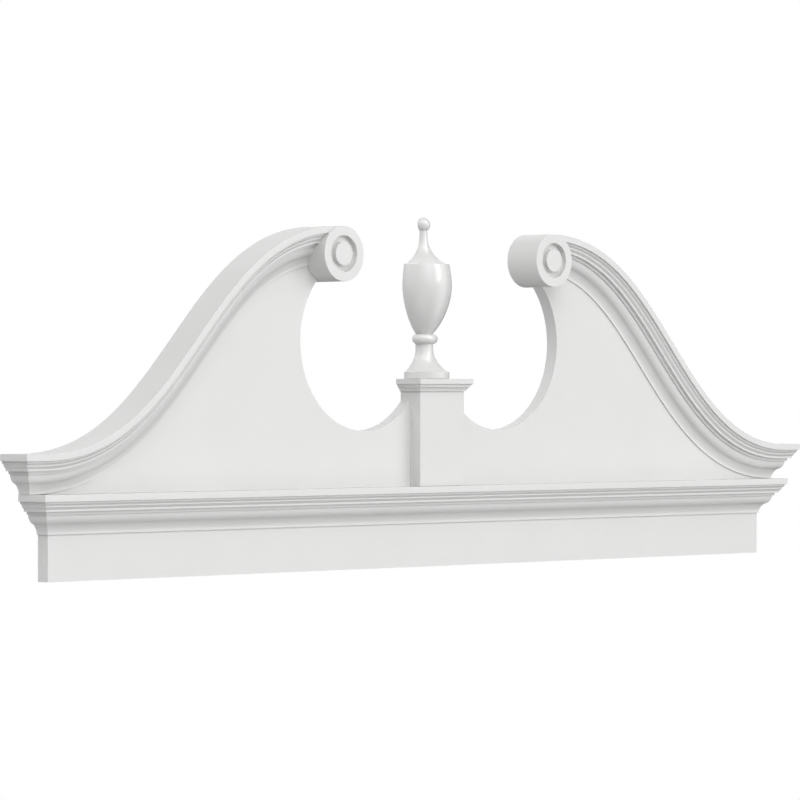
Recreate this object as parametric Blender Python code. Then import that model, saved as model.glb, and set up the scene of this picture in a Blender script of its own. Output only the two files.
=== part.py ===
"""A ram's head pediment in white cellular plastic board and mouldings, made to be fixed over a doorway.

X runs across the front, Y runs back into the wall, whose face is the plane y = 0, and Z runs up.
The origin is on the wall plane, in the middle of the frieze. All sizes are in metres.
"""
import math

import bmesh
import bpy
from mathutils import Matrix, Vector

JOINT_GAP = 0.0003            # hairline between pieces that touch

# Backboard: the frieze below the base cornice, and the tympanum above it, are one sheet
BOARD_THICKNESS = 0.0254
FRIEZE_HALF_WIDTH = 0.945
FRIEZE_HEIGHT = 0.08045
TYMPANUM_OVERHANG = 0.0404    # how far the tympanum runs past the frieze at each end

# Crown moulding, from the top down: a drop is the height of a member, and a step is how far the next
# one sits back
FASCIA_DROP = 0.0118
FASCIA_STEP = 0.0040
UPPER_FILLET_DROP = 0.0034
SMALL_COVE_DROP = 0.0033
SMALL_COVE_STEP = 0.0040
THIN_FILLET_DROP = 0.0023
MIDDLE_COVE_DROP = 0.0045
MIDDLE_COVE_STEP = 0.0043
MIDDLE_FILLET_DROP = 0.0036
MIDDLE_FILLET_STEP = 0.0063
LOWER_FILLET_DROP = 0.0053
LOWER_FILLET_STEP = 0.0035
OVOLO_DROP = 0.0164
OVOLO_STEP = 0.0105
COVE_DROP = 0.0148
COVE_STEP = 0.0086
LIP_DROP = 0.0034
LIP_STEP = 0.0028
CYMA_SLOPE = math.radians(76)  # lean from the vertical where the ovolo turns into the cove

# Top edge of each half: an ogee with level ends, from a crest over the scroll down to the eaves
CREST_X = 0.282
OGEE_RISE = 0.4036
OGEE_CREST_PULL = 0.3303      # how far the curve holds its level direction at each end
OGEE_FOOT_PULL = 0.3265
OGEE_FOOT_SETBACK = 0.0010    # level stretch between the ogee and the end of the board

# Scroll drums, whose tops lie level with the crests
DRUM_RADIUS = 0.0499
DRUM_PROUD = 0.0056           # how far the drum stands in front of the crown moulding
GROOVE_OUTER_RADIUS = 0.0330
GROOVE_INNER_RADIUS = 0.0213
GROOVE_DEPTH = 0.0085

# Round bite out of the tympanum on each side of the pedestal
BITE_OFFSET = 0.1219          # from the side of the pedestal to the centre of the bite
BITE_FLOOR_HEIGHT = 0.1026    # lowest point of the bite above the top of the base cornice
BITE_DRUM_ANGLE = math.radians(22.5)  # where the bite meets the drum, outwards from its lowest point

# Pedestal: a plain die with a moulded cap
PEDESTAL_HALF_WIDTH = 0.0588
PEDESTAL_PROJECTION = 0.0249  # in front of the board
DIE_HEIGHT = 0.1750
TAB_COVER = 0.0250            # how far the board stops below the top of the die, behind it
CAP_FASCIA_DROP = 0.0092
CAP_UPPER_COVE_DROP = 0.0029
CAP_UPPER_COVE_STEP = 0.0038
CAP_FILLET_DROP = 0.0024
CAP_LOWER_COVE_DROP = 0.0034
CAP_LOWER_COVE_STEP = 0.0040
CAP_SPLAY_DROP = 0.0045
CAP_SPLAY_STEP = 0.0018
CAP_FOOT_STEP = 0.0028        # from the foot of the cap back to the die

# Half-round urn finial, from the bottom up
FOOT_DISC_RADIUS = 0.0497
FOOT_DISC_HEIGHT = 0.0127
FOOT_LEDGE_HEIGHT = 0.0008
FOOT_SCOTIA_RADIUS = 0.0457
FOOT_SCOTIA_HEIGHT = 0.0465
FOOT_SCOTIA_LEAN = math.radians(50)  # from the vertical, where the scotia leaves the disc
NECK_RADIUS = 0.0193
NECK_HEIGHT = 0.0053
TORUS_HEIGHT = 0.0177
TORUS_PROUD = 0.0086
BOWL_FOOT_RADIUS = 0.0181
BOWL_FOOT_LEAN = math.radians(43.8)
BOWL_LOWER_HEIGHT = 0.0920
BOWL_RADIUS = 0.0545
BOWL_UPPER_HEIGHT = 0.0377
SHOULDER_RADIUS = 0.0497
SHOULDER_LEAN = math.radians(12)
SHOULDER_RISE = 0.0013
LID_RADIUS = 0.0416
LID_LEAN = math.radians(56)
LID_HEIGHT = 0.0577
STEM_RADIUS = 0.0086
STEM_HEIGHT = 0.0038
BALL_RADIUS = 0.0140

# How fully each bend fills its corner: 0 is a straight slope and 1 is nearly square
SMALL_COVE_FULLNESS = 0.05
CAP_COVE_FULLNESS = 0.2
OVOLO_FULLNESS = 0.55
COVE_FULLNESS = 0.3
SCOTIA_FULLNESS = 0.79
BOWL_FULLNESS = 0.6
LID_FULLNESS = 0.77

# Fineness of the curves
OGEE_STEPS = 28
BITE_STEPS = 44
DRUM_SIDES = 64
BEND_STEPS = 4
FINIAL_SIDES = 24
FINIAL_BEND_STEPS = 7
SHARP_ANGLE = math.radians(28)
CUTTER_OVERSHOOT = 0.02       # how far a cutter runs past what it cuts

# Levels and places that follow from the sizes
CROWN_HEIGHT = (FASCIA_DROP + UPPER_FILLET_DROP + SMALL_COVE_DROP + THIN_FILLET_DROP + MIDDLE_COVE_DROP
                + MIDDLE_FILLET_DROP + LOWER_FILLET_DROP + OVOLO_DROP + COVE_DROP + LIP_DROP)
CROWN_PROJECTION = (FASCIA_STEP + SMALL_COVE_STEP + MIDDLE_COVE_STEP + MIDDLE_FILLET_STEP
                    + LOWER_FILLET_STEP + OVOLO_STEP + COVE_STEP + LIP_STEP)
CAP_HEIGHT = CAP_FASCIA_DROP + CAP_UPPER_COVE_DROP + CAP_FILLET_DROP + CAP_LOWER_COVE_DROP + CAP_SPLAY_DROP
CAP_PROJECTION = CAP_UPPER_COVE_STEP + CAP_LOWER_COVE_STEP + CAP_SPLAY_STEP + CAP_FOOT_STEP
TYMPANUM_HALF_WIDTH = FRIEZE_HALF_WIDTH + TYMPANUM_OVERHANG
MITRE_SETBACK = JOINT_GAP * math.sqrt(2)

BOARD_FOOT = -FRIEZE_HEIGHT / 2
CORNICE_TOP = BOARD_FOOT + FRIEZE_HEIGHT + CROWN_HEIGHT
EAVES_TOP = CORNICE_TOP + JOINT_GAP + CROWN_HEIGHT
CREST_TOP = EAVES_TOP + OGEE_RISE
DIE_FOOT = CORNICE_TOP + JOINT_GAP
DIE_TOP = DIE_FOOT + DIE_HEIGHT
TAB_TOP = DIE_TOP - TAB_COVER
CAP_FOOT = DIE_TOP + JOINT_GAP
CAP_TOP = CAP_FOOT + CAP_HEIGHT
FINIAL_FOOT = CAP_TOP + JOINT_GAP

DRUM_CENTRE = Vector((CREST_X, CREST_TOP - DRUM_RADIUS))
DRUM_FRONT = -(BOARD_THICKNESS + CROWN_PROJECTION + DRUM_PROUD)
PEDESTAL_FRONT = -(BOARD_THICKNESS + PEDESTAL_PROJECTION)

WHITE = (0.74, 0.74, 0.735, 1.0)


def clear_scene():
    """Remove every object that the file holds."""
    for thing in list(bpy.data.objects):
        bpy.data.objects.remove(thing, do_unlink=True)


def plastic(name, roughness):
    """White plastic of one roughness."""
    material = bpy.data.materials.new(name)
    material.use_nodes = True
    shader = material.node_tree.nodes["Principled BSDF"]
    shader.inputs["Base Color"].default_value = WHITE
    shader.inputs["Roughness"].default_value = roughness
    shader.inputs["Metallic"].default_value = 0.0
    return material


def finished(name, mesh, roughness):
    """Close a bmesh into a named object with its own material, smooth but for its real edges."""
    bmesh.ops.recalc_face_normals(mesh, faces=mesh.faces[:])
    data = bpy.data.meshes.new(name)
    mesh.to_mesh(data)
    mesh.free()
    data.materials.append(plastic(name + "_plastic", roughness))
    data.shade_smooth()
    data.set_sharp_from_angle(angle=SHARP_ANGLE)
    thing = bpy.data.objects.new(name, data)
    bpy.context.collection.objects.link(thing)
    return thing


def bend(start, corner, end, fullness, steps):
    """Points after start on a curve that leaves start, and reaches end, aimed at corner."""
    first = start.lerp(corner, fullness)
    last = end.lerp(corner, fullness)
    points = []
    for step in range(1, steps + 1):
        t = step / steps
        u = 1 - t
        points.append(u**3 * start + 3 * u * u * t * first + 3 * u * t * t * last + t**3 * end)
    return points


def section_down(members, out, fullness):
    """A moulding section from its top edge down, as points (out from the face, down from the top).

    A member is its shape, its drop and its step back. A fillet drops straight and then steps back,
    and a cove hollows away from its top to its foot, by the fullness given.
    """
    points = [Vector((out, 0.0))]
    for shape, drop, step in members:
        start = points[-1]
        if shape == "fillet":
            points.append(start + Vector((0.0, drop)))
            if step:
                points.append(points[-1] + Vector((-step, 0.0)))
        else:
            hollow = start + Vector((-step, 0.0))
            points += bend(start, hollow, start + Vector((-step, drop)), fullness, BEND_STEPS)
    return points


def crown_section():
    """The crown moulding's closed section, its back a hairline off the board."""
    small_members = [
        ("fillet", FASCIA_DROP, FASCIA_STEP),
        ("fillet", UPPER_FILLET_DROP, 0.0),
        ("cove", SMALL_COVE_DROP, SMALL_COVE_STEP),
        ("fillet", THIN_FILLET_DROP, 0.0),
        ("cove", MIDDLE_COVE_DROP, MIDDLE_COVE_STEP),
        ("fillet", MIDDLE_FILLET_DROP, MIDDLE_FILLET_STEP),
        ("fillet", LOWER_FILLET_DROP, LOWER_FILLET_STEP),
    ]
    points = section_down(small_members, CROWN_PROJECTION, SMALL_COVE_FULLNESS)
    crown = points[-1]
    middle = crown + Vector((-OVOLO_STEP, OVOLO_DROP))
    foot = middle + Vector((-COVE_STEP, COVE_DROP))
    lean = 1 / math.tan(CYMA_SLOPE)
    ovolo_corner = Vector((crown.x, middle.y - OVOLO_STEP * lean))
    cove_corner = Vector((foot.x, middle.y + COVE_STEP * lean))
    points += bend(crown, ovolo_corner, middle, OVOLO_FULLNESS, 2 * BEND_STEPS)
    points += bend(middle, cove_corner, foot, COVE_FULLNESS, BEND_STEPS)
    points.append(foot + Vector((0.0, LIP_DROP)))
    points.append(Vector((JOINT_GAP, CROWN_HEIGHT)))
    points.append(Vector((JOINT_GAP, 0.0)))
    return points


def sweep(name, section, stations, place, roughness=0.45):
    """Carry a section through the stations: place gives each section point's position at a station."""
    mesh = bmesh.new()
    face = mesh.faces.new([mesh.verts.new(place(point, stations[0])) for point in section])
    start_cap = face
    for station in stations[1:]:
        previous = face
        grown = bmesh.ops.extrude_face_region(mesh, geom=[previous])["geom"]
        face = next(item for item in grown if isinstance(item, bmesh.types.BMFace))
        if previous is not start_cap:
            mesh.faces.remove(previous)
        for vert, point in zip(face.verts, section):
            vert.co = place(point, station)
    return finished(name, mesh, roughness)


def ogee_point(t):
    """The right-hand top edge at t, from 0 at the crest to 1 at the foot, and its downward normal."""
    crest = Vector((CREST_X, CREST_TOP))
    foot = Vector((TYMPANUM_HALF_WIDTH - OGEE_FOOT_SETBACK, EAVES_TOP))
    first = crest + Vector((OGEE_CREST_PULL, 0.0))
    last = foot - Vector((OGEE_FOOT_PULL, 0.0))
    u = 1 - t
    point = u**3 * crest + 3 * u * u * t * first + 3 * u * t * t * last + t**3 * foot
    along = u * u * (first - crest) + 2 * u * t * (last - first) + t * t * (foot - last)
    along.normalize()
    return point, Vector((along.y, -along.x))


def bite_circle():
    """Centre and radius of the right-hand bite: it rests on its floor and meets the drum's underside."""
    floor = CORNICE_TOP + BITE_FLOOR_HEIGHT
    centre_x = PEDESTAL_HALF_WIDTH + BITE_OFFSET
    meeting = DRUM_CENTRE + DRUM_RADIUS * Vector((math.sin(BITE_DRUM_ANGLE), -math.cos(BITE_DRUM_ANGLE)))
    rise = meeting.y - floor
    radius = ((meeting.x - centre_x) ** 2 + rise * rise) / (2 * rise)
    return Vector((centre_x, floor + radius)), radius


def board_outline():
    """The backboard's outline seen from the front, its scroll ends still whole."""
    half = [Vector((FRIEZE_HALF_WIDTH, BOARD_FOOT)), Vector((FRIEZE_HALF_WIDTH, DIE_FOOT)),
            Vector((TYMPANUM_HALF_WIDTH, DIE_FOOT)), Vector((TYMPANUM_HALF_WIDTH, EAVES_TOP))]
    half += [ogee_point(1 - step / OGEE_STEPS)[0] for step in range(OGEE_STEPS + 1)]
    centre, radius = bite_circle()
    tab_side = PEDESTAL_HALF_WIDTH + JOINT_GAP
    first = math.acos((CREST_X - centre.x) / radius)
    last = -math.acos((tab_side - centre.x) / radius)
    for step in range(BITE_STEPS + 1):
        angle = first + (last - first) * step / BITE_STEPS
        half.append(centre + radius * Vector((math.cos(angle), math.sin(angle))))
    half.append(Vector((tab_side, TAB_TOP)))
    return half + [Vector((-point.x, point.y)) for point in reversed(half)]


def drum_cutter(side):
    """A bar a hairline larger than a scroll drum, which shapes what dies into the drum."""
    radius = (DRUM_RADIUS + JOINT_GAP) / math.cos(math.pi / DRUM_SIDES)
    length = 2 * CUTTER_OVERSHOOT - DRUM_FRONT
    middle = Matrix.Translation((side * DRUM_CENTRE.x, DRUM_FRONT / 2, DRUM_CENTRE.y))
    lying = middle @ Matrix.Rotation(math.pi / 2, 4, "X")
    mesh = bmesh.new()
    bmesh.ops.create_cone(mesh, cap_ends=True, segments=DRUM_SIDES, radius1=radius, radius2=radius,
                          depth=length, matrix=lying)
    cutter = finished("drum_cutter_right" if side > 0 else "drum_cutter_left", mesh, 0.5)
    cutter.hide_render = True
    cutter.display_type = "WIRE"
    return cutter


def cut(thing, cutter):
    """Take a cutter's shape out of a piece."""
    modifier = thing.modifiers.new("cut_" + cutter.name, "BOOLEAN")
    modifier.operation = "DIFFERENCE"
    modifier.solver = "EXACT"
    modifier.object = cutter


def lathe(profile, centre, axis, angle, steps):
    """Turn a profile, given as places in space, round an axis, and close it."""
    mesh = bmesh.new()
    verts = [mesh.verts.new(place) for place in profile]
    edges = [mesh.edges.new(pair) for pair in zip(verts, verts[1:])]
    whole = abs(angle) > math.pi * 1.99
    bmesh.ops.spin(mesh, geom=verts + edges, cent=centre, axis=axis, angle=angle, steps=steps,
                   use_merge=whole)
    bmesh.ops.remove_doubles(mesh, verts=mesh.verts[:], dist=1e-6)
    if not whole:
        bmesh.ops.holes_fill(mesh, edges=[edge for edge in mesh.edges if edge.is_boundary])
    return mesh


def make_backboard(cutters):
    """The sheet that carries everything, with its top edge, bites and scroll ends."""

    def place(point, depth):
        return Vector((point.x, depth, point.y))

    board = sweep("backboard", board_outline(), [-BOARD_THICKNESS, 0.0], place, 0.5)
    for side in (-1, 1):
        cut(board, cutters[side])


def make_base_cornice_front(section):
    """The straight crown moulding across the frieze, mitred at both ends."""

    def place(point, side):
        across = side * (FRIEZE_HALF_WIDTH + point.x)
        return Vector((across, -(BOARD_THICKNESS + point.x), CORNICE_TOP - point.y))

    sweep("base_cornice_front", section, [-1, 1], place)


def make_return(name, section, half_width, top, side):
    """A short crown moulding round the end of the board, from the mitre back to the wall."""

    def place(point, station):
        mitre = -(BOARD_THICKNESS + point.x) + MITRE_SETBACK
        return Vector((side * (half_width + point.x), mitre if station == "mitre" else 0.0, top - point.y))

    sweep(name, section, ["mitre", "wall"], place)


def make_rake_moulding(name, section, side, cutter):
    """The crown moulding that follows the ogee from the scroll down to the mitre at the eaves."""

    def place(point, t):
        forward = -(BOARD_THICKNESS + point.x)
        if t == "mitre":
            return Vector((side * (TYMPANUM_HALF_WIDTH + point.x), forward, EAVES_TOP - point.y))
        edge, normal = ogee_point(t)
        spot = edge + normal * point.y
        return Vector((side * spot.x, forward, spot.y))

    stations = [step / OGEE_STEPS for step in range(OGEE_STEPS + 1)] + ["mitre"]
    cut(sweep(name, section, stations, place), cutter)


def make_scroll_drum(name, side):
    """A round drum through the whole depth, with a ring groove turned in its face."""
    groove_floor = DRUM_FRONT + GROOVE_DEPTH
    radii_and_depths = [
        (0.0, DRUM_FRONT), (GROOVE_INNER_RADIUS, DRUM_FRONT),
        (GROOVE_INNER_RADIUS, groove_floor), (GROOVE_OUTER_RADIUS, groove_floor),
        (GROOVE_OUTER_RADIUS, DRUM_FRONT), (DRUM_RADIUS, DRUM_FRONT),
        (DRUM_RADIUS, 0.0), (0.0, 0.0),
    ]
    centre = Vector((side * DRUM_CENTRE.x, 0.0, DRUM_CENTRE.y))
    profile = [centre + Vector((radius, depth, 0.0)) for radius, depth in radii_and_depths]
    finished(name, lathe(profile, centre, (0, 1, 0), 2 * math.pi, DRUM_SIDES), 0.4)


def make_pedestal_block():
    """The die, cut away behind where the board passes, and full depth above it."""
    board_side = -(BOARD_THICKNESS + JOINT_GAP)
    tab_level = TAB_TOP + JOINT_GAP
    outline = [Vector((PEDESTAL_FRONT, DIE_FOOT)), Vector((PEDESTAL_FRONT, DIE_TOP)),
               Vector((0.0, DIE_TOP)), Vector((0.0, tab_level)),
               Vector((board_side, tab_level)), Vector((board_side, DIE_FOOT))]

    def place(point, x):
        return Vector((x, point.x, point.y))

    sweep("pedestal_block", outline, [-PEDESTAL_HALF_WIDTH, PEDESTAL_HALF_WIDTH], place)


def make_pedestal_cap():
    """The moulded cap, which runs round the front and sides of the die."""
    members = [
        ("fillet", CAP_FASCIA_DROP, 0.0),
        ("cove", CAP_UPPER_COVE_DROP, CAP_UPPER_COVE_STEP),
        ("fillet", CAP_FILLET_DROP, 0.0),
        ("cove", CAP_LOWER_COVE_DROP, CAP_LOWER_COVE_STEP),
        ("cove", CAP_SPLAY_DROP, CAP_SPLAY_STEP),
    ]
    corners = [(-1, 0), (-1, 1), (1, 1), (1, 0)]

    def place(corner, level):
        across, forward = corner
        y = forward * (PEDESTAL_FRONT - level.x)
        return Vector((across * (PEDESTAL_HALF_WIDTH + level.x), y, CAP_TOP - level.y))

    levels = section_down(members, CAP_PROJECTION, CAP_COVE_FULLNESS)
    sweep("pedestal_cap", corners, levels, place)


def leaning(start, end, lean, upward=True):
    """Where a line leaving start at a lean from the vertical comes to the radius of end."""
    climb = abs(end.x - start.x) / math.tan(lean)
    return Vector((end.x, start.y + (climb if upward else -climb)))


def finial_profile():
    """The urn's turned outline as points (radius, height), from its foot to the top of its ball."""
    foot_top = FINIAL_FOOT + FOOT_DISC_HEIGHT
    points = [Vector((0.0, FINIAL_FOOT)), Vector((FOOT_DISC_RADIUS, FINIAL_FOOT)),
              Vector((FOOT_DISC_RADIUS, foot_top))]
    scotia_foot = Vector((FOOT_SCOTIA_RADIUS, foot_top + FOOT_LEDGE_HEIGHT))
    scotia_top = Vector((NECK_RADIUS, scotia_foot.y + FOOT_SCOTIA_HEIGHT))
    points.append(scotia_foot)
    scotia_corner = leaning(scotia_foot, scotia_top, FOOT_SCOTIA_LEAN)
    points += bend(scotia_foot, scotia_corner, scotia_top, SCOTIA_FULLNESS, FINIAL_BEND_STEPS)

    torus_foot = scotia_top.y + NECK_HEIGHT
    torus_steps = FINIAL_BEND_STEPS + 1
    for step in range(torus_steps + 1):
        angle = math.pi * step / torus_steps
        points.append(Vector((NECK_RADIUS + TORUS_PROUD * math.sin(angle),
                              torus_foot + TORUS_HEIGHT * (1 - math.cos(angle)) / 2)))

    bowl_foot = Vector((BOWL_FOOT_RADIUS, torus_foot + TORUS_HEIGHT))
    bowl_widest = Vector((BOWL_RADIUS, bowl_foot.y + BOWL_LOWER_HEIGHT))
    shoulder = Vector((SHOULDER_RADIUS, bowl_widest.y + BOWL_UPPER_HEIGHT))
    points.append(bowl_foot)
    lower_corner = leaning(bowl_foot, bowl_widest, BOWL_FOOT_LEAN)
    upper_corner = leaning(shoulder, bowl_widest, SHOULDER_LEAN, upward=False)
    points += bend(bowl_foot, lower_corner, bowl_widest, BOWL_FULLNESS, FINIAL_BEND_STEPS)
    points += bend(bowl_widest, upper_corner, shoulder, BOWL_FULLNESS, BEND_STEPS)

    lid_foot = Vector((LID_RADIUS, shoulder.y + SHOULDER_RISE))
    lid_top = Vector((STEM_RADIUS, lid_foot.y + LID_HEIGHT))
    points.append(lid_foot)
    points += bend(lid_foot, leaning(lid_foot, lid_top, LID_LEAN), lid_top, LID_FULLNESS, FINIAL_BEND_STEPS)

    stem_top = lid_top.y + STEM_HEIGHT
    ball_centre = stem_top + math.sqrt(BALL_RADIUS**2 - STEM_RADIUS**2)
    start = math.asin(STEM_RADIUS / BALL_RADIUS)
    for step in range(FINIAL_BEND_STEPS + 1):
        angle = start + (math.pi - start) * step / FINIAL_BEND_STEPS
        radius = BALL_RADIUS * math.sin(angle) if step < FINIAL_BEND_STEPS else 0.0
        points.append(Vector((radius, ball_centre - BALL_RADIUS * math.cos(angle))))
    return points


def make_finial():
    """Half of a turned urn, its flat back on the wall plane."""
    profile = [Vector((point.x, 0.0, point.y)) for point in finial_profile()]
    finished("finial", lathe(profile, (0, 0, 0), (0, 0, 1), -math.pi, FINIAL_SIDES), 0.25)


def main():
    clear_scene()
    section = crown_section()
    cutters = {side: drum_cutter(side) for side in (-1, 1)}
    make_backboard(cutters)
    make_base_cornice_front(section)
    for side, hand in ((-1, "left"), (1, "right")):
        make_return("base_cornice_return_" + hand, section, FRIEZE_HALF_WIDTH, CORNICE_TOP, side)
        make_return("eaves_return_" + hand, section, TYMPANUM_HALF_WIDTH, EAVES_TOP, side)
        make_rake_moulding("rake_moulding_" + hand, section, side, cutters[side])
        make_scroll_drum("scroll_drum_" + hand, side)
    make_pedestal_block()
    make_pedestal_cap()
    make_finial()


main()
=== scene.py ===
"""Looks for a scroll-ended pediment: white mouldings, sanded board and a turned urn in soft studio light.

X runs across the front, Y runs back to the wall plane y = 0, and Z runs up. Everything is in metres.
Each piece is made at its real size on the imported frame, with the fine curves and rounded arrises that
the plain solids leave out.
"""
import math

import bmesh
import bpy
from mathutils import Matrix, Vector


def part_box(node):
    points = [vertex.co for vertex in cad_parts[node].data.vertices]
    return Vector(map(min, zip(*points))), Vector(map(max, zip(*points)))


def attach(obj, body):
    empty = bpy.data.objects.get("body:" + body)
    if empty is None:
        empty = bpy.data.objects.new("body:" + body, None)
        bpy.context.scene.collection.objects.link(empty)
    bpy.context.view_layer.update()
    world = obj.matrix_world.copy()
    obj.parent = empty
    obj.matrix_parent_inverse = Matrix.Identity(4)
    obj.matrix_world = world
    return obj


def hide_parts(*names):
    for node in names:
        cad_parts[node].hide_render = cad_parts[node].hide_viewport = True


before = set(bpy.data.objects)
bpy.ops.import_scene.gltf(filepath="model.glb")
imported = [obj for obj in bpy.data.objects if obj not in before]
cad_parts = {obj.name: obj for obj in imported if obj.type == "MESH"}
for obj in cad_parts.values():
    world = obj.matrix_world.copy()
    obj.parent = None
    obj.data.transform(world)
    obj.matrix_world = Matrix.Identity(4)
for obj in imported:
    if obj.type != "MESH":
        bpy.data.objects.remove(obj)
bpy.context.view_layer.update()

# Places read from the frame
board_low, board_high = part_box("backboard")
cornice_low, cornice_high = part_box("base_cornice_front")
eaves_low, eaves_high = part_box("eaves_return_right")
drum_low, drum_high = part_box("scroll_drum_right")
die_low, die_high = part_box("pedestal_block")
cap_low, cap_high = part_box("pedestal_cap")
urn_low, urn_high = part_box("finial")

BOARD_THICKNESS = -board_low.y
BOARD_FOOT = board_low.z
TYMPANUM_HALF_WIDTH = board_high.x
CORNICE_TOP = cornice_high.z
CROWN_HEIGHT = cornice_high.z - cornice_low.z
CROWN_PROJECTION = -cornice_low.y - BOARD_THICKNESS
FRIEZE_HALF_WIDTH = cornice_high.x - CROWN_PROJECTION
EAVES_TOP = eaves_high.z
TYMPANUM_FOOT = die_low.z
DRUM_RADIUS = (drum_high.z - drum_low.z) / 2
DRUM_CENTRE = Vector(((drum_low.x + drum_high.x) / 2, (drum_low.z + drum_high.z) / 2))
DRUM_FRONT = drum_low.y
CREST = Vector((DRUM_CENTRE.x, drum_high.z))

# Crown moulding, from the top down: a drop is the height of a member, a step is how far the next sits back
FASCIA_DROP = 0.0118
FASCIA_STEP = 0.0040
UPPER_FILLET_DROP = 0.0034
SMALL_COVE_DROP = 0.0033
SMALL_COVE_STEP = 0.0040
THIN_FILLET_DROP = 0.0023
MIDDLE_COVE_DROP = 0.0045
MIDDLE_COVE_STEP = 0.0043
MIDDLE_FILLET_DROP = 0.0036
MIDDLE_FILLET_STEP = 0.0063
LOWER_FILLET_DROP = 0.0053
LOWER_FILLET_STEP = 0.0035
OVOLO_DROP = 0.0164
OVOLO_STEP = 0.0105
COVE_DROP = 0.0148
COVE_STEP = 0.0086
LIP_DROP = 0.0034
CYMA_SLOPE = math.radians(76)

# Ogee of each half, from the crest over the scroll down to the eaves
OGEE_CREST_PULL = 0.3303
OGEE_FOOT_PULL = 0.3265
OGEE_FOOT_SETBACK = 0.0010

# Round bite beside the pedestal
BITE_OFFSET = 0.1219
BITE_FLOOR_HEIGHT = 0.1026
BITE_DRUM_ANGLE = math.radians(22.5)

# Ring groove in the face of each scroll
GROOVE_OUTER_RADIUS = 0.0330
GROOVE_INNER_RADIUS = 0.0213
GROOVE_DEPTH = 0.0085

# Pedestal
TAB_COVER = 0.0250
CAP_FASCIA_DROP = 0.0092
CAP_UPPER_COVE_DROP = 0.0029
CAP_UPPER_COVE_STEP = 0.0038
CAP_FILLET_DROP = 0.0024
CAP_LOWER_COVE_DROP = 0.0034
CAP_LOWER_COVE_STEP = 0.0040
CAP_SPLAY_DROP = 0.0045
CAP_SPLAY_STEP = 0.0018

# Half-round urn, from the bottom up
FOOT_DISC_HEIGHT = 0.0127
FOOT_LEDGE_HEIGHT = 0.0008
FOOT_DISC_RADIUS = 0.0497
FOOT_SCOTIA_RADIUS = 0.0457
FOOT_SCOTIA_HEIGHT = 0.0465
FOOT_SCOTIA_LEAN = math.radians(50)
NECK_RADIUS = 0.0193
NECK_HEIGHT = 0.0053
TORUS_HEIGHT = 0.0177
TORUS_PROUD = 0.0086
BOWL_FOOT_RADIUS = 0.0181
BOWL_FOOT_LEAN = math.radians(43.8)
BOWL_LOWER_HEIGHT = 0.0920
BOWL_RADIUS = 0.0545
BOWL_UPPER_HEIGHT = 0.0377
SHOULDER_RADIUS = 0.0497
SHOULDER_LEAN = math.radians(12)
SHOULDER_RISE = 0.0013
LID_RADIUS = 0.0416
LID_LEAN = math.radians(56)
LID_HEIGHT = 0.0577
STEM_RADIUS = 0.0086
STEM_HEIGHT = 0.0038
BALL_RADIUS = 0.0140

# How fully each bend fills its corner: 0 is a straight slope and 1 is nearly square
SMALL_COVE_FULLNESS = 0.05
CAP_COVE_FULLNESS = 0.2
OVOLO_FULLNESS = 0.55
COVE_FULLNESS = 0.3
SCOTIA_FULLNESS = 0.79
BOWL_FULLNESS = 0.6
LID_FULLNESS = 0.77

# Workmanship
GLUE_LINE = 0.00005           # what is left of the joint between glued pieces
MOULDING_ARRIS = 0.0003       # radius on the corners of an extruded moulding
BOARD_ARRIS = 0.0005          # radius sanded on the sheet's edges
DIE_ARRIS = 0.0006
DRUM_ARRIS = 0.0005
URN_ARRIS = 0.0006
SHARP_CORNER = math.radians(24)
SQUARE_CORNER = math.radians(60)  # an edge of the sheet that turns further than this is an arris

# Fineness of the curves
RAKE_STEPS = 120
BITE_STEPS = 72
DRUM_ARC_STEPS = 36
SMALL_COVE_STEPS = 6
OVOLO_STEPS = 16
COVE_STEPS = 10
DRUM_TURNS = 144
URN_TURNS = 112
URN_BEND_STEPS = 20
ARRIS_STEPS = 3
BOARD_ARRIS_STEPS = 2
MERGE_DISTANCE = 1e-6
DRUM_CLEAR_BY = 0.5           # share of the ogee by which every line of the moulding is out of the drum
DRUM_EXIT_ACCURACY = 1e-7     # as a share of the ogee


def bend(start, corner, end, fullness, steps):
    """Points after start on a curve that leaves start, and reaches end, aimed at corner."""
    first = start.lerp(corner, fullness)
    last = end.lerp(corner, fullness)
    points = []
    for step in range(1, steps + 1):
        t = step / steps
        u = 1 - t
        points.append(u**3 * start + 3 * u * u * t * first + 3 * u * t * t * last + t**3 * end)
    return points


def fillet(points, drop, step=0.0):
    """Carry a section straight down, and then back where there is a step."""
    points.append(points[-1] + Vector((0.0, drop)))
    if step:
        points.append(points[-1] + Vector((-step, 0.0)))


def small_cove(points, drop, step, fullness):
    """Carry a section down and back along a small hollow."""
    start = points[-1]
    points.extend(bend(start, start + Vector((-step, 0.0)), start + Vector((-step, drop)),
                       fullness, SMALL_COVE_STEPS))


def turn_at(before, here, after):
    """How sharply a line of points turns at one of them."""
    return (here - before).angle(after - here, 0.0)


def softened(points, radius, keep=()):
    """A closed section with its sharp corners rounded by a vertex bevel, but for the corners to keep."""
    flat = bmesh.new()
    verts = [flat.verts.new((point.x, 0.0, point.y)) for point in points]
    flat.faces.new(verts)
    count = len(points)
    sharp = [vert for index, vert in enumerate(verts) if index not in keep
             and turn_at(points[index - 1], points[index], points[(index + 1) % count]) > SHARP_CORNER]
    bmesh.ops.bevel(flat, geom=sharp, offset=radius, offset_type="OFFSET", segments=ARRIS_STEPS,
                    profile=0.5, affect="VERTICES", clamp_overlap=True, material=-1)
    flat.faces.ensure_lookup_table()
    rounded = [Vector((vert.co.x, vert.co.z)) for vert in flat.faces[0].verts]
    flat.free()
    start = min(range(len(rounded)), key=lambda index: (rounded[index] - points[0]).length)
    return rounded[start:] + rounded[:start]


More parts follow.
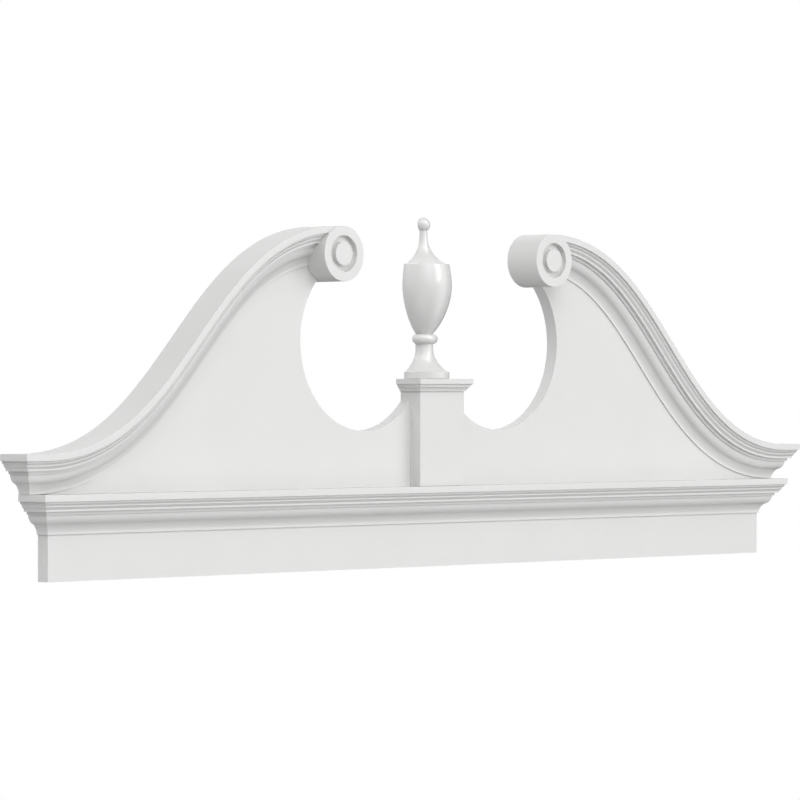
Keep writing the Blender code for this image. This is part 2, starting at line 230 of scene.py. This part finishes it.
def finished(name, mesh, material, node):
    """Close a bmesh into a named piece that stands for a node of the frame."""
    bmesh.ops.recalc_face_normals(mesh, faces=mesh.faces[:])
    data = bpy.data.meshes.new(name)
    mesh.to_mesh(data)
    mesh.free()
    data.materials.append(material)
    data.shade_smooth()
    data.set_sharp_from_angle(angle=SHARP_CORNER)
    piece = bpy.data.objects.new(name, data)
    bpy.context.collection.objects.link(piece)
    weigh = piece.modifiers.new("even_shading", "WEIGHTED_NORMAL")
    weigh.keep_sharp = True
    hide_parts(node)
    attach(piece, "root")
    return piece


def carried_on(mesh, face, start_cap):
    """Extrude a face one step further, and leave no wall inside the solid."""
    grown = bmesh.ops.extrude_face_region(mesh, geom=[face])["geom"]
    further = next(item for item in grown if isinstance(item, bmesh.types.BMFace))
    if face is not start_cap:
        mesh.faces.remove(face)
    return further


def run_of(section, stations, place):
    """Draw a section through its stations, with a map of (along the run, round the section) on it."""
    mesh = bmesh.new()
    rings = [[mesh.verts.new(place(point, stations[0])) for point in section]]
    face = mesh.faces.new(rings[0])
    start_cap = face
    for station in stations[1:]:
        face = carried_on(mesh, face, start_cap)
        for vert, point in zip(face.verts, section):
            vert.co = place(point, station)
        rings.append(list(face.verts))

    around = [0.0]
    for before, after in zip(section, section[1:]):
        around.append(around[-1] + (after - before).length)
    along = 0.0
    spot = {}
    for number, ring in enumerate(rings):
        if number:
            along += (ring[0].co - rings[number - 1][0].co).length
        for vert, distance in zip(ring, around):
            spot[vert] = (along, distance)
    layer = mesh.loops.layers.uv.new("run")
    for face in mesh.faces:
        for loop in face.loops:
            loop[layer].uv = spot[loop.vert]
    return mesh


def crown_section():
    """The crown moulding's closed section, as points (out from the board, down from the top)."""
    points = [Vector((CROWN_PROJECTION, 0.0))]
    fillet(points, FASCIA_DROP, FASCIA_STEP)
    fillet(points, UPPER_FILLET_DROP)
    small_cove(points, SMALL_COVE_DROP, SMALL_COVE_STEP, SMALL_COVE_FULLNESS)
    fillet(points, THIN_FILLET_DROP)
    small_cove(points, MIDDLE_COVE_DROP, MIDDLE_COVE_STEP, SMALL_COVE_FULLNESS)
    fillet(points, MIDDLE_FILLET_DROP, MIDDLE_FILLET_STEP)
    fillet(points, LOWER_FILLET_DROP, LOWER_FILLET_STEP)

    crown = points[-1]
    middle = crown + Vector((-OVOLO_STEP, OVOLO_DROP))
    foot = middle + Vector((-COVE_STEP, COVE_DROP))
    lean = 1 / math.tan(CYMA_SLOPE)
    ovolo_corner = Vector((crown.x, middle.y - OVOLO_STEP * lean))
    cove_corner = Vector((foot.x, middle.y + COVE_STEP * lean))
    points += bend(crown, ovolo_corner, middle, OVOLO_FULLNESS, OVOLO_STEPS)
    points += bend(middle, cove_corner, foot, COVE_FULLNESS, COVE_STEPS)
    points.append(foot + Vector((0.0, LIP_DROP)))
    points.append(Vector((GLUE_LINE, CROWN_HEIGHT)))
    points.append(Vector((GLUE_LINE, 0.0)))
    hidden = (len(points) - 2, len(points) - 1)
    return softened(points, MOULDING_ARRIS, keep=hidden)


def ogee_point(t):
    """The right-hand top edge at t, from 0 at the crest to 1 at the foot, and its downward normal."""
    foot = Vector((TYMPANUM_HALF_WIDTH - OGEE_FOOT_SETBACK, EAVES_TOP))
    first = CREST + Vector((OGEE_CREST_PULL, 0.0))
    last = foot - Vector((OGEE_FOOT_PULL, 0.0))
    u = 1 - t
    point = u**3 * CREST + 3 * u * u * t * first + 3 * u * t * t * last + t**3 * foot
    along = u * u * (first - CREST) + 2 * u * t * (last - first) + t * t * (foot - last)
    along.normalize()
    return point, Vector((along.y, -along.x))


def leaves_drum(down):
    """Where on the ogee a line of the moulding, so far below the top edge, comes out of the drum."""
    if down < GLUE_LINE:
        return 0.0
    inside, outside = 0.0, DRUM_CLEAR_BY
    while outside - inside > DRUM_EXIT_ACCURACY:
        t = (inside + outside) / 2
        edge, normal = ogee_point(t)
        if (edge + normal * down - DRUM_CENTRE).length < DRUM_RADIUS:
            inside = t
        else:
            outside = t
    return outside


def bite_circle():
    """Centre and radius of the right-hand bite, and the point of the drum's underside that it meets."""
    floor = CORNICE_TOP + BITE_FLOOR_HEIGHT
    centre_x = die_high.x + BITE_OFFSET
    meeting = DRUM_CENTRE + DRUM_RADIUS * Vector((math.sin(BITE_DRUM_ANGLE), -math.cos(BITE_DRUM_ANGLE)))
    rise = meeting.y - floor
    radius = ((meeting.x - centre_x) ** 2 + rise * rise) / (2 * rise)
    return Vector((centre_x, floor + radius)), radius, meeting


def arc(centre, radius, start, end, steps):
    """Points on a circle from one direction to another, both in radians from +X."""
    points = []
    for step in range(steps + 1):
        angle = start + (end - start) * step / steps
        points.append(centre + radius * Vector((math.cos(angle), math.sin(angle))))
    return points


def board_outline():
    """The sheet's outline from the front, and how many points of each half the mouldings cover in front."""
    half = [Vector((FRIEZE_HALF_WIDTH, BOARD_FOOT)), Vector((FRIEZE_HALF_WIDTH, TYMPANUM_FOOT)),
            Vector((TYMPANUM_HALF_WIDTH, TYMPANUM_FOOT)), Vector((TYMPANUM_HALF_WIDTH, EAVES_TOP))]
    half += [ogee_point(1 - step / RAKE_STEPS)[0] for step in range(RAKE_STEPS)]
    covered = range(1, len(half))
    centre, radius, meeting = bite_circle()
    drum_foot = -math.pi / 2 + BITE_DRUM_ANGLE
    drum_top = math.pi / 2 - math.acos(DRUM_RADIUS / (DRUM_RADIUS + GLUE_LINE))
    half += arc(DRUM_CENTRE, DRUM_RADIUS + GLUE_LINE, drum_top, drum_foot, DRUM_ARC_STEPS)
    tab_side = die_high.x + GLUE_LINE
    first = math.atan2(meeting.y - centre.y, meeting.x - centre.x)
    last = -math.acos((tab_side - centre.x) / radius)
    half += arc(centre, radius, first, last, BITE_STEPS)[1:]
    half.append(Vector((tab_side, die_high.z - TAB_COVER)))
    return half, covered


def make_board(material):
    """The sheet behind everything: its visible arrises are sanded, and its glued ones stay square."""
    half, covered = board_outline()
    whole = half + [Vector((-point.x, point.y)) for point in reversed(half)]
    count = len(whole)
    hidden = set(covered) | {count - 1 - index for index in covered}
    mesh = bmesh.new()
    front = [mesh.verts.new((point.x, -BOARD_THICKNESS, point.y)) for point in whole]
    face = mesh.faces.new(front)
    grown = bmesh.ops.extrude_face_region(mesh, geom=[face])["geom"]
    bmesh.ops.translate(mesh, vec=(0.0, BOARD_THICKNESS, 0.0),
                        verts=[item for item in grown if isinstance(item, bmesh.types.BMVert)])
    glued = {front[index] for index in hidden}
    sanded = [edge for edge in mesh.edges
              if edge.is_manifold and edge.calc_face_angle(0.0) > SQUARE_CORNER
              and not (edge.verts[0] in glued and edge.verts[1] in glued)
              and not any(vert.co.x in (TYMPANUM_HALF_WIDTH, -TYMPANUM_HALF_WIDTH) for vert in edge.verts)]
    bmesh.ops.bevel(mesh, geom=sanded, offset=BOARD_ARRIS, offset_type="OFFSET",
                    segments=BOARD_ARRIS_STEPS, profile=0.5, affect="EDGES", clamp_overlap=True,
                    material=-1)
    finished("board_sheet", mesh, material, "backboard")


def make_base_cornice(section, material):
    """The straight moulding across the frieze and its two mitred returns."""

    def place_front(point, side):
        across = side * (FRIEZE_HALF_WIDTH + point.x)
        return Vector((across, -(BOARD_THICKNESS + point.x), CORNICE_TOP - point.y))

    front = run_of(section, [-1, 1], place_front)
    finished("cornice_front", front, material, "base_cornice_front")
    for side, hand in ((-1, "left"), (1, "right")):
        make_return("cornice_return_" + hand, section, FRIEZE_HALF_WIDTH, CORNICE_TOP, side,
                    material, "base_cornice_return_" + hand)


def make_return(name, section, half_width, top, side, material, node):
    """A short moulding round the end of the board, from the mitre back to the wall."""

    def place(point, station):
        mitre = -(BOARD_THICKNESS + point.x) + GLUE_LINE
        depth = mitre if station == "mitre" else 0.0
        return Vector((side * (half_width + point.x), depth, top - point.y))

    finished(name, run_of(section, ["mitre", "wall"], place), material, node)


def make_rakes(section, material):
    """The mouldings that follow the ogee, each from its drum down to the mitre at the eaves."""
    starts = {point.y: leaves_drum(point.y) for point in section}
    stations = [step / RAKE_STEPS for step in range(RAKE_STEPS + 1)] + ["mitre"]
    for side, hand in ((-1, "left"), (1, "right")):

        def place(point, station):
            forward = -(BOARD_THICKNESS + point.x)
            if station == "mitre":
                return Vector((side * (TYMPANUM_HALF_WIDTH + point.x), forward, EAVES_TOP - point.y))
            start = starts[point.y]
            edge, normal = ogee_point(start + (1 - start) * station)
            spot = edge + normal * point.y
            return Vector((side * spot.x, forward, spot.y))

        rake = run_of(section, stations, place)
        finished("rake_" + hand, rake, material, "rake_moulding_" + hand)
        make_return("eaves_end_" + hand, section, TYMPANUM_HALF_WIDTH, EAVES_TOP, side,
                    material, "eaves_return_" + hand)


def turned(outline, place, axis, centre, angle, turns):
    """Turn an outline that starts and ends on the axis, and close what is left open."""
    mesh = bmesh.new()
    verts = [mesh.verts.new(place(point)) for point in outline]
    edges = [mesh.edges.new(pair) for pair in zip(verts, verts[1:])]
    whole = math.isclose(abs(angle), 2 * math.pi)
    bmesh.ops.spin(mesh, geom=verts + edges, cent=centre, axis=axis, angle=angle, steps=turns,
                   use_merge=whole)
    bmesh.ops.remove_doubles(mesh, verts=mesh.verts[:], dist=MERGE_DISTANCE)
    if not whole:
        bmesh.ops.holes_fill(mesh, edges=[edge for edge in mesh.edges if edge.is_boundary])
    return mesh


def make_scrolls(material):
    """The drums at the crests, each with a ring groove and softly rounded arrises."""
    floor = DRUM_FRONT + GROOVE_DEPTH
    profile = [
        Vector((0.0, DRUM_FRONT)), Vector((GROOVE_INNER_RADIUS, DRUM_FRONT)),
        Vector((GROOVE_INNER_RADIUS, floor)), Vector((GROOVE_OUTER_RADIUS, floor)),
        Vector((GROOVE_OUTER_RADIUS, DRUM_FRONT)), Vector((DRUM_RADIUS, DRUM_FRONT)),
        Vector((DRUM_RADIUS, 0.0)), Vector((0.0, 0.0)),
    ]
    outline = softened(profile, DRUM_ARRIS, keep=(0, len(profile) - 1))
    for side, hand in ((-1, "left"), (1, "right")):
        centre = Vector((side * DRUM_CENTRE.x, 0.0, DRUM_CENTRE.y))

        def place(point):
            return centre + Vector((point.x, point.y, 0.0))

        drum = turned(outline, place, (0, 1, 0), centre, 2 * math.pi, DRUM_TURNS)
        finished("scroll_" + hand, drum, material, "scroll_drum_" + hand)


def make_die(material):
    """The plain pedestal, rebated behind for the board, with its front corners eased."""
    board_side = -(BOARD_THICKNESS + GLUE_LINE)
    tab_level = die_high.z - TAB_COVER + GLUE_LINE
    outline = [Vector((die_low.y, die_low.z)), Vector((die_low.y, die_high.z)),
               Vector((0.0, die_high.z)), Vector((0.0, tab_level)),
               Vector((board_side, tab_level)), Vector((board_side, die_low.z))]

    def place(point, x):
        return Vector((x, point.x, point.y))

    mesh = run_of(outline, [die_low.x, die_high.x], place)
    front_corners = [edge for edge in mesh.edges
                     if all(vert.co.y < board_side and abs(vert.co.x) > die_high.x / 2 for vert in edge.verts)
                     and abs(edge.verts[0].co.x - edge.verts[1].co.x) < DIE_ARRIS]
    bmesh.ops.bevel(mesh, geom=front_corners, offset=DIE_ARRIS, offset_type="OFFSET",
                    segments=ARRIS_STEPS, profile=0.5, affect="EDGES", clamp_overlap=True, material=-1)
    finished("die", mesh, material, "pedestal_block")


def make_cap(material):
    """The moulded cap round the front and sides of the die."""
    points = [Vector((cap_high.x - die_high.x, 0.0))]
    fillet(points, CAP_FASCIA_DROP)
    small_cove(points, CAP_UPPER_COVE_DROP, CAP_UPPER_COVE_STEP, CAP_COVE_FULLNESS)
    fillet(points, CAP_FILLET_DROP)
    small_cove(points, CAP_LOWER_COVE_DROP, CAP_LOWER_COVE_STEP, CAP_COVE_FULLNESS)
    small_cove(points, CAP_SPLAY_DROP, CAP_SPLAY_STEP, CAP_COVE_FULLNESS)
    inside = -die_high.x / 2
    closed = points + [Vector((inside, points[-1].y)), Vector((inside, 0.0))]
    soft = softened(closed, MOULDING_ARRIS, keep=(len(closed) - 2, len(closed) - 1))
    levels = [point for point in soft if point.x > inside]
    corners = [(-1, 0), (-1, 1), (1, 1), (1, 0)]

    def place(corner, level):
        across, forward = corner
        y = forward * (die_low.y - level.x)
        return Vector((across * (die_high.x + level.x), y, cap_high.z - level.y))

    mesh = bmesh.new()
    face = mesh.faces.new([mesh.verts.new(place(corner, levels[0])) for corner in corners])
    top = face
    for level in levels[1:]:
        face = carried_on(mesh, face, top)
        for vert, corner in zip(face.verts, corners):
            vert.co = place(corner, level)
    finished("die_cap", mesh, material, "pedestal_cap")


def leaning(start, end, lean, upward=True):
    """Where a line leaving start at a lean from the vertical comes to the radius of end."""
    climb = abs(end.x - start.x) / math.tan(lean)
    return Vector((end.x, start.y + (climb if upward else -climb)))


def urn_outline():
    """The urn's turned outline as points (radius, height), from its foot to the top of its ball."""
    foot_top = urn_low.z + FOOT_DISC_HEIGHT
    points = [Vector((0.0, urn_low.z)), Vector((FOOT_DISC_RADIUS, urn_low.z)),
              Vector((FOOT_DISC_RADIUS, foot_top))]
    scotia_foot = Vector((FOOT_SCOTIA_RADIUS, foot_top + FOOT_LEDGE_HEIGHT))
    scotia_top = Vector((NECK_RADIUS, scotia_foot.y + FOOT_SCOTIA_HEIGHT))
    points.append(scotia_foot)
    scotia_corner = leaning(scotia_foot, scotia_top, FOOT_SCOTIA_LEAN)
    points += bend(scotia_foot, scotia_corner, scotia_top, SCOTIA_FULLNESS, URN_BEND_STEPS)

    torus_foot = scotia_top.y + NECK_HEIGHT
    for step in range(URN_BEND_STEPS + 1):
        angle = math.pi * step / URN_BEND_STEPS
        points.append(Vector((NECK_RADIUS + TORUS_PROUD * math.sin(angle),
                              torus_foot + TORUS_HEIGHT * (1 - math.cos(angle)) / 2)))

    bowl_foot = Vector((BOWL_FOOT_RADIUS, torus_foot + TORUS_HEIGHT))
    bowl_widest = Vector((BOWL_RADIUS, bowl_foot.y + BOWL_LOWER_HEIGHT))
    shoulder = Vector((SHOULDER_RADIUS, bowl_widest.y + BOWL_UPPER_HEIGHT))
    points.append(bowl_foot)
    lower_corner = leaning(bowl_foot, bowl_widest, BOWL_FOOT_LEAN)
    upper_corner = leaning(shoulder, bowl_widest, SHOULDER_LEAN, upward=False)
    points += bend(bowl_foot, lower_corner, bowl_widest, BOWL_FULLNESS, URN_BEND_STEPS)
    points += bend(bowl_widest, upper_corner, shoulder, BOWL_FULLNESS, URN_BEND_STEPS // 2)

    lid_foot = Vector((LID_RADIUS, shoulder.y + SHOULDER_RISE))
    lid_top = Vector((STEM_RADIUS, lid_foot.y + LID_HEIGHT))
    points.append(lid_foot)
    points += bend(lid_foot, leaning(lid_foot, lid_top, LID_LEAN), lid_top, LID_FULLNESS, URN_BEND_STEPS)

    stem_top = lid_top.y + STEM_HEIGHT
    ball_centre = stem_top + math.sqrt(BALL_RADIUS**2 - STEM_RADIUS**2)
    start = math.asin(STEM_RADIUS / BALL_RADIUS)
    for step in range(URN_BEND_STEPS):
        angle = start + (math.pi - start) * step / URN_BEND_STEPS
        points.append(Vector((BALL_RADIUS * math.sin(angle), ball_centre - BALL_RADIUS * math.cos(angle))))
    points.append(Vector((0.0, urn_high.z)))
    return points


def make_urn(material):
    """Half of a turned urn, its flat back on the wall plane."""
    points = urn_outline()
    outline = softened(points, URN_ARRIS, keep=(0, len(points) - 1))

    def place(point):
        return Vector((point.x, 0.0, point.y))

    urn = turned(outline, place, (0, 0, 1), (0, 0, 0), -math.pi, URN_TURNS)
    finished("urn", urn, material, "finial")


# Finishes: a noise scale is in cycles to the metre, and a depth is in metres
WHITE = (0.74, 0.74, 0.735)
PLASTIC_IOR = 1.5
CLOUD_SCALE = 9.0
CLOUD_DETAIL = 4.0
SHEEN_SCALE = 38.0
SHEEN_DETAIL = 3.0
SHEEN_SPREAD = 0.05           # how far the roughness wanders each way
GRAIN_DETAIL = 2.0
NOISE_LOW = 0.3               # the range that most of a noise texture falls in
NOISE_HIGH = 0.7
STREAK_SCALE = (3.0, 900.0, 1.0)  # along the moulding, and round its section


def plastic(name, roughness, mottle, grain_scale, grain_depth, streak_depth=0.0):
    """White plastic: a faint cloudiness, patches of sheen, a fine raised grain, and streaks if drawn."""
    material = bpy.data.materials.new(name)
    material.use_nodes = True
    nodes = material.node_tree.nodes
    links = material.node_tree.links
    shader = nodes["Principled BSDF"]
    shader.inputs["Metallic"].default_value = 0.0
    shader.inputs["IOR"].default_value = PLASTIC_IOR
    where = nodes.new("ShaderNodeTexCoord")

    def noise(scale, detail):
        texture = nodes.new("ShaderNodeTexNoise")
        texture.inputs["Scale"].default_value = scale
        texture.inputs["Detail"].default_value = detail
        links.new(where.outputs["Object"], texture.inputs["Vector"])
        return texture.outputs["Fac"]

    def spread(value, low, high):
        ramp = nodes.new("ShaderNodeMapRange")
        ramp.inputs["From Min"].default_value = NOISE_LOW
        ramp.inputs["From Max"].default_value = NOISE_HIGH
        ramp.inputs["To Min"].default_value = low
        ramp.inputs["To Max"].default_value = high
        links.new(value, ramp.inputs["Value"])
        return ramp.outputs["Result"]

    cloud = nodes.new("ShaderNodeMix")
    cloud.data_type = "RGBA"
    cloud.inputs["A"].default_value = (WHITE[0] - mottle, WHITE[1] - mottle, WHITE[2] - mottle, 1.0)
    cloud.inputs["B"].default_value = (WHITE[0], WHITE[1], WHITE[2], 1.0)
    links.new(spread(noise(CLOUD_SCALE, CLOUD_DETAIL), 0.0, 1.0), cloud.inputs["Factor"])
    links.new(cloud.outputs["Result"], shader.inputs["Base Color"])
    sheen = spread(noise(SHEEN_SCALE, SHEEN_DETAIL), roughness - SHEEN_SPREAD, roughness + SHEEN_SPREAD)
    links.new(sheen, shader.inputs["Roughness"])

    grain = nodes.new("ShaderNodeBump")
    grain.inputs["Strength"].default_value = 1.0
    grain.inputs["Distance"].default_value = grain_depth
    links.new(noise(grain_scale, GRAIN_DETAIL), grain.inputs["Height"])
    normal = grain.outputs["Normal"]
    if streak_depth:
        run = nodes.new("ShaderNodeUVMap")
        run.uv_map = "run"
        stretch = nodes.new("ShaderNodeMapping")
        stretch.inputs["Scale"].default_value = STREAK_SCALE
        links.new(run.outputs["UV"], stretch.inputs["Vector"])
        lines = nodes.new("ShaderNodeTexNoise")
        lines.inputs["Scale"].default_value = 1.0
        lines.inputs["Detail"].default_value = GRAIN_DETAIL
        links.new(stretch.outputs["Vector"], lines.inputs["Vector"])
        drawn = nodes.new("ShaderNodeBump")
        drawn.inputs["Distance"].default_value = streak_depth
        links.new(lines.outputs["Fac"], drawn.inputs["Height"])
        links.new(normal, drawn.inputs["Normal"])
        normal = drawn.outputs["Normal"]
    links.new(normal, shader.inputs["Normal"])
    return material


# Camera: where it stands, and how far it is turned from looking straight at the wall
CAMERA_PLACE = (-5.72608, -5.49214, 0.281525)
CAMERA_TURN = math.radians(-45.89)
CAMERA_LENS = 192.06          # mm
SENSOR_WIDTH = 36.0           # mm
CAMERA_REACH = 100.0
CAMERA_SHIFT_UP = -0.0091     # the photo's horizon lies a little above its middle


def make_camera():
    """The camera at the photo's angle."""
    data = bpy.data.cameras.new("camera")
    data.lens = CAMERA_LENS
    data.sensor_width = SENSOR_WIDTH
    data.shift_y = CAMERA_SHIFT_UP
    data.clip_end = CAMERA_REACH
    camera = bpy.data.objects.new("camera", data)
    camera.location = CAMERA_PLACE
    camera.rotation_euler = (math.pi / 2, 0.0, CAMERA_TURN)
    bpy.context.collection.objects.link(camera)
    bpy.context.scene.camera = camera


# Studio: a pale floor, a plain white backdrop that only the camera sees, and soft light from all round
FLOOR_LEVEL = -1.10
FLOOR_SIZE = 9.0
FLOOR_WHITE = 0.85
FLOOR_ROUGHNESS = 0.8
BACKDROP_WHITE = (1.0, 1.0, 1.0, 1.0)
AIM = Vector((0.0, 0.0, 0.25))

# Soft glows of the walls, ceiling and floor: degrees round from the front towards +X, degrees up, strength
GLOWS = {
    "front_high": (-25.0, 40.0, 3.9),
    "front": (-5.0, 15.0, 0.9),
    "front_right": (45.0, 10.0, 2.1),
    "left": (-110.0, 35.0, 2.3),
    "left_high": (-80.0, 55.0, 0.9),
    "back_right": (130.0, 15.0, 1.0),
    "back_right_high": (140.0, 55.0, 1.6),
    "back_left_low": (-155.0, -15.0, 1.7),
    "floor_front_right": (35.0, -25.0, 1.7),
    "floor_front_left": (-50.0, -30.0, 1.5),
    "floor_back": (-170.0, -55.0, 0.5),
    "floor_below": (-120.0, -80.0, 1.6),
}
GLOW_TIGHTNESS = 12.0

# Each soft box: degrees round from the front towards +X, degrees up, distance, width, height, watts
SOFT_BOXES = {
    "tall_box": (22.0, 36.0, 3.0, 1.2, 2.8, 60.0),
    "side_box": (-101.0, 4.0, 3.0, 0.5, 0.8, 2.5),
}
TONE = 0.8                    # view gamma, which deepens the shadows of the mouldings


def heading(turn, lift):
    """The direction so many degrees round from the front and so many up."""
    turn = math.radians(turn)
    lift = math.radians(lift)
    return Vector((math.sin(turn) * math.cos(lift), -math.cos(turn) * math.cos(lift), math.sin(lift)))


def make_soft_box(name, turn, lift, distance, width, height, watts):
    """A soft box aimed at the middle of the object, which shows only as a sheen on its surfaces."""
    data = bpy.data.lights.new(name, "AREA")
    data.shape = "RECTANGLE"
    data.size = width
    data.size_y = height
    data.energy = watts
    light = bpy.data.objects.new(name, data)
    away = heading(turn, lift)
    light.location = AIM + away * distance
    light.rotation_euler = (-away).to_track_quat("-Z", "Y").to_euler()
    light.visible_diffuse = False
    bpy.context.collection.objects.link(light)


def make_floor():
    """A plain pale floor, which neither lights nor shades the object."""
    mesh = bmesh.new()
    bmesh.ops.create_grid(mesh, x_segments=1, y_segments=1, size=FLOOR_SIZE / 2)
    bmesh.ops.translate(mesh, vec=(0.0, 0.0, FLOOR_LEVEL), verts=mesh.verts)
    data = bpy.data.meshes.new("floor")
    mesh.to_mesh(data)
    mesh.free()
    paint = bpy.data.materials.new("floor_paint")
    paint.use_nodes = True
    shader = paint.node_tree.nodes["Principled BSDF"]
    shader.inputs["Base Color"].default_value = (FLOOR_WHITE, FLOOR_WHITE, FLOOR_WHITE, 1.0)
    shader.inputs["Roughness"].default_value = FLOOR_ROUGHNESS
    data.materials.append(paint)
    floor = bpy.data.objects.new("floor", data)
    floor.visible_diffuse = False
    floor.visible_glossy = False
    floor.visible_shadow = False
    bpy.context.collection.objects.link(floor)


def glow_strength(nodes, links):
    """The strength of all the glows together in each direction of the sky."""

    def sum_of(operation, value, number):
        node = nodes.new("ShaderNodeMath")
        node.operation = operation
        node.inputs[1].default_value = number
        links.new(value, node.inputs[0])
        return node

    where = nodes.new("ShaderNodeTexCoord")
    total = None
    for turn, lift, strength in GLOWS.values():
        facing = nodes.new("ShaderNodeVectorMath")
        facing.operation = "DOT_PRODUCT"
        facing.inputs[1].default_value = heading(turn, lift)
        links.new(where.outputs["Generated"], facing.inputs[0])
        front = sum_of("MAXIMUM", facing.outputs["Value"], 0.0)
        fade = sum_of("POWER", front.outputs["Value"], GLOW_TIGHTNESS)
        share = sum_of("MULTIPLY_ADD", fade.outputs["Value"], strength)
        share.inputs[2].default_value = 0.0
        if total:
            links.new(total, share.inputs[2])
        total = share.outputs["Value"]
    return total


def make_sky():
    """The glows that light the object, and the white backdrop that the camera sees in their place."""
    world = bpy.data.worlds.new("studio")
    world.use_nodes = True
    nodes = world.node_tree.nodes
    links = world.node_tree.links
    glow = nodes["Background"]
    glow.inputs["Color"].default_value = BACKDROP_WHITE
    links.new(glow_strength(nodes, links), glow.inputs["Strength"])
    backdrop = nodes.new("ShaderNodeBackground")
    backdrop.inputs["Color"].default_value = BACKDROP_WHITE
    backdrop.inputs["Strength"].default_value = 1.0
    ray = nodes.new("ShaderNodeLightPath")
    choice = nodes.new("ShaderNodeMixShader")
    links.new(ray.outputs["Is Camera Ray"], choice.inputs["Fac"])
    links.new(glow.outputs["Background"], choice.inputs[1])
    links.new(backdrop.outputs["Background"], choice.inputs[2])
    links.new(choice.outputs["Shader"], nodes["World Output"].inputs["Surface"])
    bpy.context.scene.world = world


def make_studio():
    """The floor, the sky and the lights."""
    make_floor()
    make_sky()
    for name, numbers in SOFT_BOXES.items():
        make_soft_box(name, *numbers)
    bpy.context.scene.view_settings.view_transform = "Standard"
    bpy.context.scene.view_settings.gamma = TONE


def main():
    make_camera()
    sheet = plastic("sanded_sheet", roughness=0.5, mottle=0.012, grain_scale=900.0, grain_depth=0.00002)
    extrusion = plastic("extruded_moulding", roughness=0.45, mottle=0.010, grain_scale=700.0,
                        grain_depth=0.00001, streak_depth=0.00001)
    turned_skin = plastic("turned_scroll", roughness=0.42, mottle=0.010, grain_scale=800.0,
                          grain_depth=0.00001)
    gloss = plastic("moulded_urn", roughness=0.22, mottle=0.008, grain_scale=140.0, grain_depth=0.00001)
    section = crown_section()
    make_board(sheet)
    make_base_cornice(section, extrusion)
    make_rakes(section, extrusion)
    make_scrolls(turned_skin)
    make_die(sheet)
    make_cap(extrusion)
    make_urn(gloss)
    make_studio()


main()
